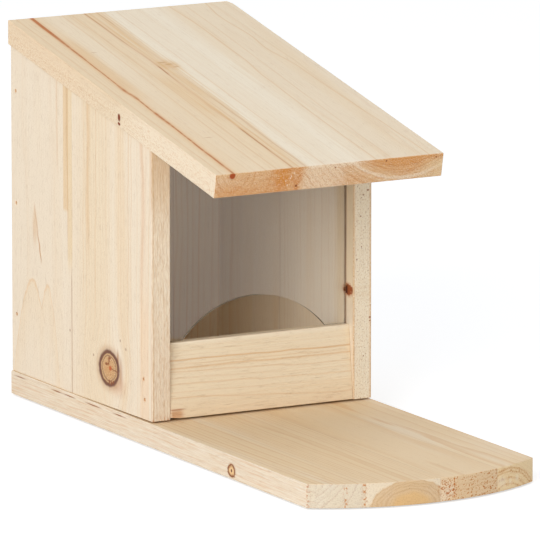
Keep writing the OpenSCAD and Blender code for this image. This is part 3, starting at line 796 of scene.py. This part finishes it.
def acrylic():
    """Clear sheet, slightly smeared, that lets daylight through to the wood behind it."""
    finish = Finish("acrylic")
    x, y, z = finish.place
    smear = finish.cloud(x / 14, y / 14, z / 22).step(-0.3, 0.7)
    finish.give("Base Color", (0.97, 0.98, 0.975, 1.0))
    finish.give("Transmission Weight", 1.0)
    finish.give("IOR", 1.49)
    finish.give("Roughness", smear * 0.05 + 0.01)
    rays = finish.node("LightPath")
    light = Num(finish, rays.outputs["Is Shadow Ray"]).most(Num(finish, rays.outputs["Is Diffuse Ray"]))
    choose = finish.node("MixShader")
    finish.wire(choose.inputs[0], light)
    finish.wire(choose.inputs[1], finish.shader.outputs[0])
    finish.wire(choose.inputs[2], finish.node("BsdfTransparent").outputs[0])
    finish.wire(finish.tree.nodes["Material Output"].inputs["Surface"], choose.outputs[0])
    return finish.material


# Wooden pieces

ARRIS = 0.4
PANE_ARRIS = 0.25
# Largest grid steps through a board, across it and along it
THROUGH, ACROSS, ALONG = 2.5, 4, 5
# Largest grid steps of the pane: across, through and up
PANE_STEPS = 2, 1, 4
# A point belongs to a face where its outward direction has this share along the face's axis
ON_FACE = 0.999
# The side boards stand off the base at their front ends, over this run and this share of their height
GAP = 0.8
GAP_RUN = 75
GAP_SHARE = 0.1
# The rail's left foot is lifted, over this width and height
RAIL_GAP = 0.7
RAIL_GAP_RUN = 6
RAIL_GAP_RISE = 3
# The platform's bow fades out over this run
BOW_RUN = 60
# The roof's rear right corner is knocked off a little
KNOCK_X = 1.4
KNOCK_Y = 4.3
KNOCK_REACH = 20
# Holes over the sunk brads and screws: radius, reach into the grid round them, and depth
BRAD_HOLE = 1.0, 1.6, 0.55
SCREW_HOLE = 3.05, 4.2, 0.52


def brad_places():
    """Places of the brads along and up a side board: three into the back board, two into the rail."""
    low, high = node_box("left_back_brads")
    head = (high[1] - low[1]) / 2
    places = [(low[1] + head, height) for height in np.linspace(low[2] + head, high[2] - head, 3)]
    low, high = node_box("left_rail_brads")
    return places + [(low[1] + head, low[2] + head), (high[1] - head, high[2] - head)]


def screw_places():
    """Places of the screws across and along the base: two into the back board, two into each side."""
    low, high = node_box("base_back_screws")
    head = (high[1] - low[1]) / 2
    places = [(x, low[1] + head) for x in (low[0] + head, high[0] - head)]
    low, high = node_box("base_side_screws")
    across, along = (low[0] + head, high[0] - head), (low[1] + head, high[1] - head)
    return places + [(x, y) for x in across for y in along]


def side_board(side, finish):
    """A side board: a rounded block whose top is cut to the roof's pitch by scaling its height, with
    the pane's groove drawn in from its inner face and the brads' punched holes in its outer face."""
    brads = brad_places()
    radius, reach, depth = BRAD_HOLE
    groove = [PANE_LOW[1] - PANE_PLAY, PANE_HIGH[1] + PANE_PLAY]
    walls = [edge + shift for edge in groove for shift in (-WALL / 2, WALL / 2)]
    tall = SIDE_HIGH[2] - BASE_TOP
    stretch = [tall / (roof_under(y) - BASE_TOP) for y, z in brads]
    hole_y = np.concatenate([hole_lines(y, radius, reach) for y, z in brads])
    hole_z = np.concatenate([BASE_TOP + (hole_lines(z, radius, reach) - BASE_TOP) * s
                             for (y, z), s in zip(brads, stretch)])
    lines = [
        grid_lines(SIDE_LOW[0], SIDE_HIGH[0], THROUGH, ARRIS),
        grid_lines(SIDE_LOW[1], SIDE_HIGH[1], ALONG, ARRIS, np.concatenate([walls, hole_y])),
        grid_lines(BASE_TOP, SIDE_HIGH[2], ALONG, ARRIS, hole_z),
    ]
    points, quads, way = rounded_block(lines, ARRIS)
    share = (points[:, 2] - BASE_TOP) / tall
    points[:, 2] = BASE_TOP + share * (roof_under(points[:, 1]) - BASE_TOP)
    by_front = np.clip(1 - points[:, 1] / GAP_RUN, 0, 1)
    points[:, 2] += GAP * by_front * np.clip(1 - share / GAP_SHARE, 0, 1)
    grooved = (points[:, 1] > groove[0]) & (points[:, 1] < groove[1])
    keep = 1 - GROOVE_DEPTH / (SIDE_HIGH[0] - SIDE_LOW[0])
    points[grooved, 0] = SIDE_LOW[0] + (points[grooved, 0] - SIDE_LOW[0]) * keep
    outer = way[:, 0] < -ON_FACE
    for y, z in brads:
        sink_hole(points, outer, [1, 2], np.array([y, z]), radius, reach, np.array([depth, 0, 0]))
    if side > 0:
        points[:, 0] *= -1
        quads = quads[:, ::-1]
    name = "right_side" if side > 0 else "left_side"
    make_piece(name + "_board", points, quads, way[:, 2] ** 2, "housing", [name], finish)


def base_board(finish):
    """The base: a rounded block whose front stretch is bowed on an arc, with the screws' round recesses
    in its underside."""
    screws = screw_places()
    radius, reach, depth = SCREW_HOLE
    lines = [
        grid_lines(BASE_LOW[0], BASE_HIGH[0], ACROSS, ARRIS,
                   np.concatenate([hole_lines(x, radius, reach) for x, y in screws])),
        grid_lines(BASE_LOW[1], BASE_HIGH[1], ALONG, ARRIS,
                   np.concatenate([hole_lines(y, radius, reach) for x, y in screws])),
        grid_lines(BASE_LOW[2], BASE_HIGH[2], THROUGH, ARRIS),
    ]
    points, quads, way = rounded_block(lines, ARRIS)
    arc = (BASE_HIGH[0] ** 2 + PLATFORM_BOW ** 2) / (2 * PLATFORM_BOW)
    bow = arc - np.sqrt(arc ** 2 - points[:, 0] ** 2)
    points[:, 1] += bow * np.clip(1 - (points[:, 1] - BASE_LOW[1]) / BOW_RUN, 0, 1)
    under = way[:, 2] < -ON_FACE
    for x, y in screws:
        sink_hole(points, under, [0, 1], np.array([x, y]), radius, reach, np.array([0, 0, depth]))
    make_piece("base_plank", points, quads, way[:, 1] ** 2, "housing", ["base_board"], finish)


def roof_board(finish):
    """The roof: a rounded block sheared to the pitch, plumb behind and square to the slope in front."""
    thick = ROOF_T / math.cos(ROOF_PITCH)
    lines = [
        grid_lines(ROOF_LOW[0], ROOF_HIGH[0], ACROSS, ARRIS),
        grid_lines(ROOF_LOW[1], BODY_D, ALONG, ARRIS, [BODY_D - KNOCK_Y, BODY_D - KNOCK_Y / 2]),
        grid_lines(0, thick, THROUGH, ARRIS),
    ]
    points, quads, way = rounded_block(lines, ARRIS)
    back_share = (BODY_D - points[:, 1]) / (BODY_D - ROOF_LOW[1])
    points[:, 1] += back_share * (1 - points[:, 2] / thick) * ROOF_T * math.sin(ROOF_PITCH)
    points[:, 2] += roof_under(points[:, 1])
    by_back = np.clip(1 - (BODY_D - points[:, 1]) / KNOCK_Y, 0, 1)
    by_right = np.clip(1 - (ROOF_HIGH[0] - points[:, 0]) / KNOCK_REACH, 0, 1)
    points[:, 0] -= KNOCK_X * by_back * by_right
    make_piece("roof_plank", points, quads, way[:, 1] ** 2, "roof", ["roof_board"], finish)


def front_rail(finish):
    """The rail: a rounded block turned back by its lean about its lower back edge."""
    cos, sin = math.cos(RAIL_LEAN), math.sin(RAIL_LEAN)
    deep, tall = RAIL_HIGH[1] - RAIL_LOW[1], RAIL_HIGH[2] - RAIL_LOW[2]
    thick = (deep * cos - tall * sin) / math.cos(2 * RAIL_LEAN)
    high = (tall * cos - deep * sin) / math.cos(2 * RAIL_LEAN)
    lines = [
        grid_lines(RAIL_LOW[0], RAIL_HIGH[0], ALONG, ARRIS),
        grid_lines(0, thick, THROUGH, ARRIS),
        grid_lines(0, high, ACROSS, ARRIS),
    ]
    points, quads, way = rounded_block(lines, ARRIS)
    behind, up = points[:, 1].copy(), points[:, 2].copy()
    points[:, 1] = behind * cos + up * sin
    points[:, 2] = BASE_TOP + thick * sin - behind * sin + up * cos
    by_left = np.clip(1 - (points[:, 0] - RAIL_LOW[0]) / RAIL_GAP_RUN, 0, 1)
    points[:, 2] += RAIL_GAP * by_left * np.clip(1 - up / RAIL_GAP_RISE, 0, 1)
    ends = way[:, 0] ** 2
    make_piece("front_rail_board", points, quads, ends, "housing", ["front_rail"], finish)


def window_pane(finish):
    """The pane: a rounded block whose lower edge is lifted to the mouth's arc, squeezing the rows above."""
    across, through, up = PANE_STEPS
    arc = (MOUTH_HALF ** 2 + MOUTH_RISE ** 2) / (2 * MOUTH_RISE)
    lines = [
        grid_lines(PANE_LOW[0], PANE_HIGH[0], across, PANE_ARRIS, [-MOUTH_HALF, MOUTH_HALF]),
        grid_lines(PANE_LOW[1], PANE_HIGH[1], through, PANE_ARRIS),
        grid_lines(PANE_LOW[2], PANE_HIGH[2], up, PANE_ARRIS),
    ]
    points, quads, way = rounded_block(lines, PANE_ARRIS)
    flat = np.minimum(np.abs(points[:, 0]), MOUTH_HALF)
    lift = MOUTH_RISE - arc + np.sqrt(arc ** 2 - flat ** 2)
    tall = PANE_HIGH[2] - PANE_LOW[2]
    points[:, 2] += lift * (PANE_HIGH[2] - points[:, 2]) / tall
    make_piece("window_sheet", points, quads, way[:, 1] * 0, "housing", ["window_pane"], finish)


def dress_nodes():
    """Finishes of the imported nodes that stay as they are."""
    brass = metal("hinge_brass", paint(206, 172, 100), paint(150, 112, 58), 0.3, 3.0)
    screw_brass = metal("screw_brass", paint(200, 164, 92), paint(140, 104, 54), 0.32, 1.5)
    browned = metal("brad_steel", paint(208, 162, 110), paint(172, 122, 74), 0.6, 0.6)
    zinc = metal("screw_zinc", paint(196, 196, 198), paint(140, 140, 142), 0.35, 2.0)
    finishes = {"hinge_brass": brass, "screw_brass": screw_brass,
                "brad_steel": browned, "screw_steel": zinc}
    for part in frame["record"]["subparts"]:
        finish = finishes.get(part["material_slot"])
        if finish:
            frame["nodes"][part["node"]].data.materials.clear()
            frame["nodes"][part["node"]].data.materials.append(finish)
    back = frame["nodes"]["back_board"].data.materials
    back.clear()
    back.append(back_pine())


# Stage

# The floor lies this far under the base, which leaves a thin line of shadow there
FLOOR_GAP = 0.8
FLOOR_HALF = 20000
WORLD_LEVEL = 0.57
# Lamps: place, width and power in watts
SIDE_LAMP = (-1609, -1350, 928), 1200, 29.5
TOP_LAMP = (0, 0, 2600), 1500, 7
LAMP_TARGET = 0, 0, 80
# The floor's colour as it lights the feeder, and its colour and glow as it is seen
FLOOR_MATT = 0.85, 0.85, 0.85, 1
FLOOR_SHADED = 0.60, 0.615, 0.64, 1
FLOOR_GLOW = 0.58
# Camera of the photograph: its direction from the feeder, target, distance, reach and lens
CAMERA_AZIMUTH = math.radians(-28.78)
CAMERA_ELEVATION = math.radians(10.94)
CAMERA_TARGET = 4.16, 0, 80.35
CAMERA_DISTANCE = 4267
CAMERA_REACH = 100000
CAMERA_LENS = 593.8
SENSOR_WIDTH = 36


def seen_rays(tree):
    """Socket that is 1 for what is seen: straight, mirrored in metal, or through the pane."""
    rays = add_node(tree, "LightPath")
    seen = rays.outputs["Is Camera Ray"]
    for name in ("Is Glossy Ray", "Is Transmission Ray"):
        both = add_node(tree, "Math")
        both.operation = "MAXIMUM"
        tree.links.new(seen, both.inputs[0])
        tree.links.new(rays.outputs[name], both.inputs[1])
        seen = both.outputs[0]
    return seen


def make_world(level):
    """White all round: full white where it is seen or mirrored, and the given level as light."""
    world = bpy.data.worlds.new("white_room")
    bpy.context.scene.world = world
    world.use_nodes = True
    tree = world.node_tree
    strength = add_node(tree, "MapRange")
    strength.inputs["To Min"].default_value = level
    tree.links.new(seen_rays(tree), strength.inputs["Value"])
    background = tree.nodes["Background"]
    background.inputs["Color"].default_value = (1, 1, 1, 1)
    tree.links.new(strength.outputs["Result"], background.inputs["Strength"])


def make_floor(half):
    """Pale floor that shows white where no shadow falls: a matt share takes the shadow."""
    mesh = bpy.data.meshes.new("floor")
    corner = half * np.array([(-1, -1), (1, -1), (1, 1), (-1, 1)])
    mesh.from_pydata([(x * MM, y * MM, -FLOOR_GAP * MM) for x, y in corner.tolist()], [], [(0, 1, 2, 3)])
    floor = bpy.data.objects.new("floor", mesh)
    bpy.context.collection.objects.link(floor)
    material = bpy.data.materials.new("floor_white")
    material.use_nodes = True
    tree = material.node_tree
    tree.nodes.remove(tree.nodes["Principled BSDF"])
    matt = add_node(tree, "BsdfDiffuse")
    matt.inputs["Color"].default_value = FLOOR_MATT
    shaded = add_node(tree, "BsdfDiffuse")
    shaded.inputs["Color"].default_value = FLOOR_SHADED
    glow = add_node(tree, "Emission")
    glow.inputs["Strength"].default_value = FLOOR_GLOW
    white = add_node(tree, "AddShader")
    tree.links.new(shaded.outputs[0], white.inputs[0])
    tree.links.new(glow.outputs[0], white.inputs[1])
    choose = add_node(tree, "MixShader")
    tree.links.new(seen_rays(tree), choose.inputs[0])
    tree.links.new(matt.outputs[0], choose.inputs[1])
    tree.links.new(white.outputs[0], choose.inputs[2])
    tree.links.new(choose.outputs[0], tree.nodes["Material Output"].inputs["Surface"])
    mesh.materials.append(material)


def aim(obj, place, target):
    """Puts a camera or lamp at a place, facing a target."""
    obj.location = Vector(place) * MM
    way = Vector(target) - Vector(place)
    obj.rotation_euler = way.to_track_quat("-Z", "Y").to_euler()
    bpy.context.collection.objects.link(obj)


def make_lamp(place, size, watts):
    """Square soft box that faces the feeder."""
    lamp = bpy.data.lights.new("soft_box", "AREA")
    lamp.shape = "SQUARE"
    lamp.size = size * MM
    lamp.energy = watts
    aim(bpy.data.objects.new("soft_box", lamp), place, LAMP_TARGET)


def make_camera():
    """Camera in its direction from the target, at its distance."""
    level = math.cos(CAMERA_ELEVATION)
    back = np.array([
        math.sin(CAMERA_AZIMUTH) * level,
        -math.cos(CAMERA_AZIMUTH) * level,
        math.sin(CAMERA_ELEVATION),
    ])
    lens = bpy.data.cameras.new("camera")
    lens.lens = CAMERA_LENS
    lens.sensor_width = SENSOR_WIDTH
    lens.clip_end = CAMERA_REACH * MM
    camera = bpy.data.objects.new("camera", lens)
    aim(camera, CAMERA_TARGET + CAMERA_DISTANCE * back, CAMERA_TARGET)
    bpy.context.scene.camera = camera


side_board(-1, left_side_pine())
side_board(1, right_side_pine())
base_board(base_pine())
roof_board(roof_pine())
front_rail(rail_pine())
window_pane(acrylic())
dress_nodes()
make_world(WORLD_LEVEL)
make_floor(FLOOR_HALF)
make_lamp(*SIDE_LAMP)
make_lamp(*TOP_LAMP)
make_camera()
bpy.context.scene.view_settings.view_transform = "Standard"
